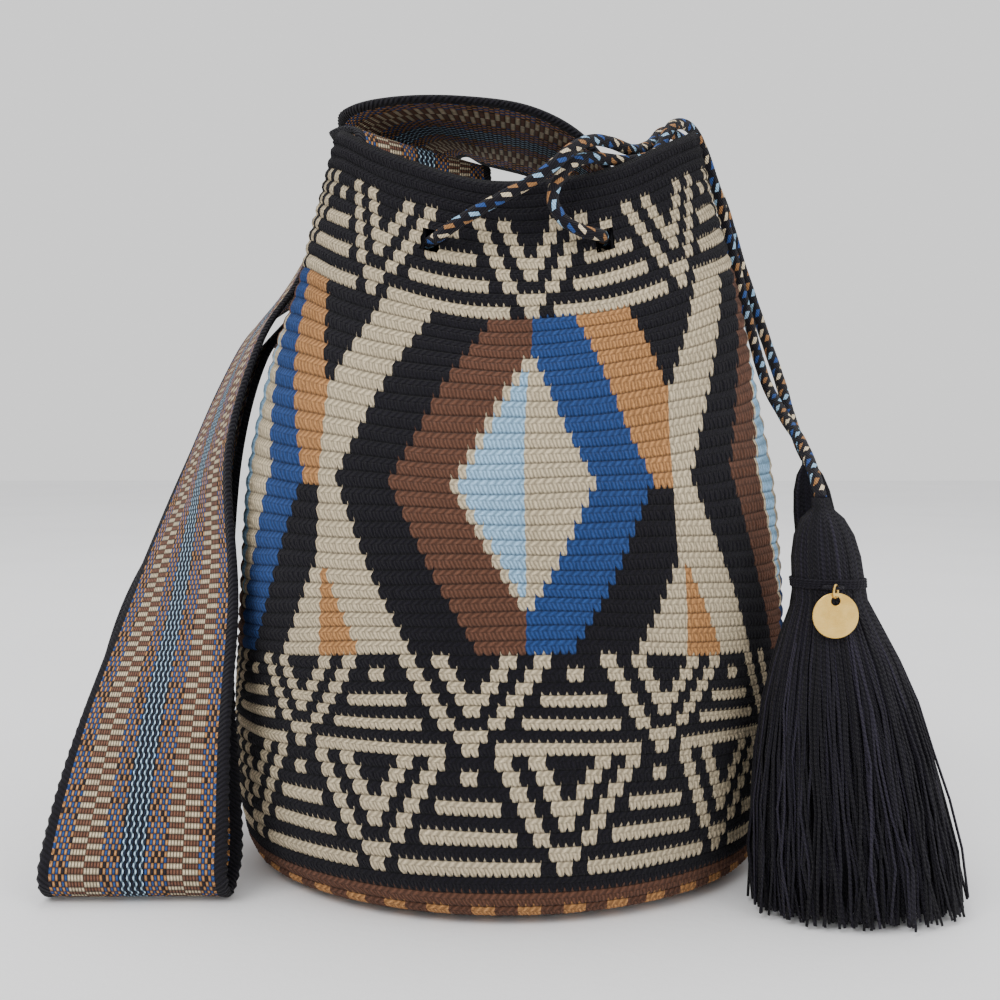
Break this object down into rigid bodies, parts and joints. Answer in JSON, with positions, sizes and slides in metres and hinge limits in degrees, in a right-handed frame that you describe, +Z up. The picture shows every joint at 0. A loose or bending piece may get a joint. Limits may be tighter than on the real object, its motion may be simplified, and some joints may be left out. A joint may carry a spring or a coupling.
{
  "type": "wayuu mochila bag",
  "caption": "Crocheted bucket bag with a wide woven shoulder strap, a braided drawcord through the rim, yarn tassels and a small hanging metal disc.",
  "frame": {"origin": "centre of the base's underside, on the surface that the bag stands on", "axes": "+Z up, -Y towards the front with the two eyelets, +X towards the tassels, -X towards the folded strap"},
  "size_m": [0.3506, 0.232, 0.321],
  "materials": {
    "crochet": "crocheted yarn in black, cream, tan, brown and two blues",
    "strap": "woven band with black ribbed borders",
    "cord": "braided yarn cord",
    "yarn": "twisted yarn strands",
    "gold": "polished gold plate"
  },
  "bodies": {
    "bag": {"bag_body": "crochet", "shoulder_strap": "strap", "drawcord": "cord", "front_tassel": "yarn", "front_tassel_binding": "yarn", "rear_tassel": "yarn", "rear_tassel_binding": "yarn"},
    "ring": {"charm_ring": "gold"},
    "disc": {"charm_disc": "gold"}
  },
  "joints": [
    {"name": "ring_swing", "type": "hinge", "parent": "bag", "child": "ring", "pos_m": [0.12, -0.0957, 0.121], "axis": [-1, 0, 0], "range_deg": [0, 30]},
    {"name": "disc_swing", "type": "hinge", "parent": "ring", "child": "disc", "pos_m": [0.12, -0.0957, 0.1174], "axis": [-1, 0, 0], "range_deg": [0, 12]}
  ]
}
